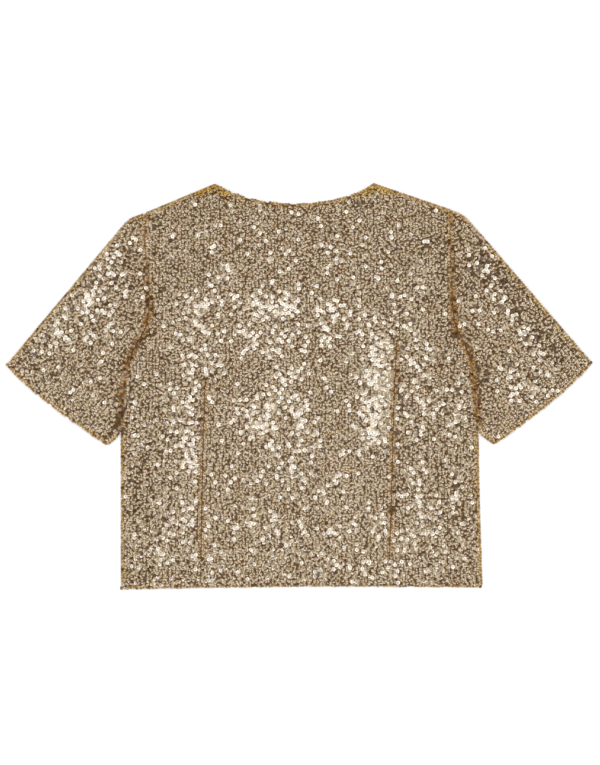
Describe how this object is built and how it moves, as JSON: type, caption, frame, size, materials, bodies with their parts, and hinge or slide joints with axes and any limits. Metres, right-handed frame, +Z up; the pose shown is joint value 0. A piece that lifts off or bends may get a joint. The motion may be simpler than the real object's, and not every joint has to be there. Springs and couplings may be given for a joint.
{
  "type": "sequinned short-sleeved blouse laid flat",
  "caption": "Cropped boxy blouse in sequinned cloth, laid flat with its back up: shallow wide neckline, waist darts and short set-in sleeves spread to the sides.",
  "frame": {"origin": "middle of the underside, on the surface that the blouse lies on", "axes": "+X across the sleeves towards the right of someone looking down at the back, +Y from the hem to the neck, +Z up"},
  "size_m": [0.7294, 0.5056, 0.0073],
  "materials": {
    "sequinned_cloth": "champagne gold sequins on a golden brown net"
  },
  "bodies": {
    "root": {"back_panel": "sequinned_cloth", "front_panel": "sequinned_cloth", "sleeve_left": "sequinned_cloth", "sleeve_right": "sequinned_cloth"}
  },
  "joints": []
}
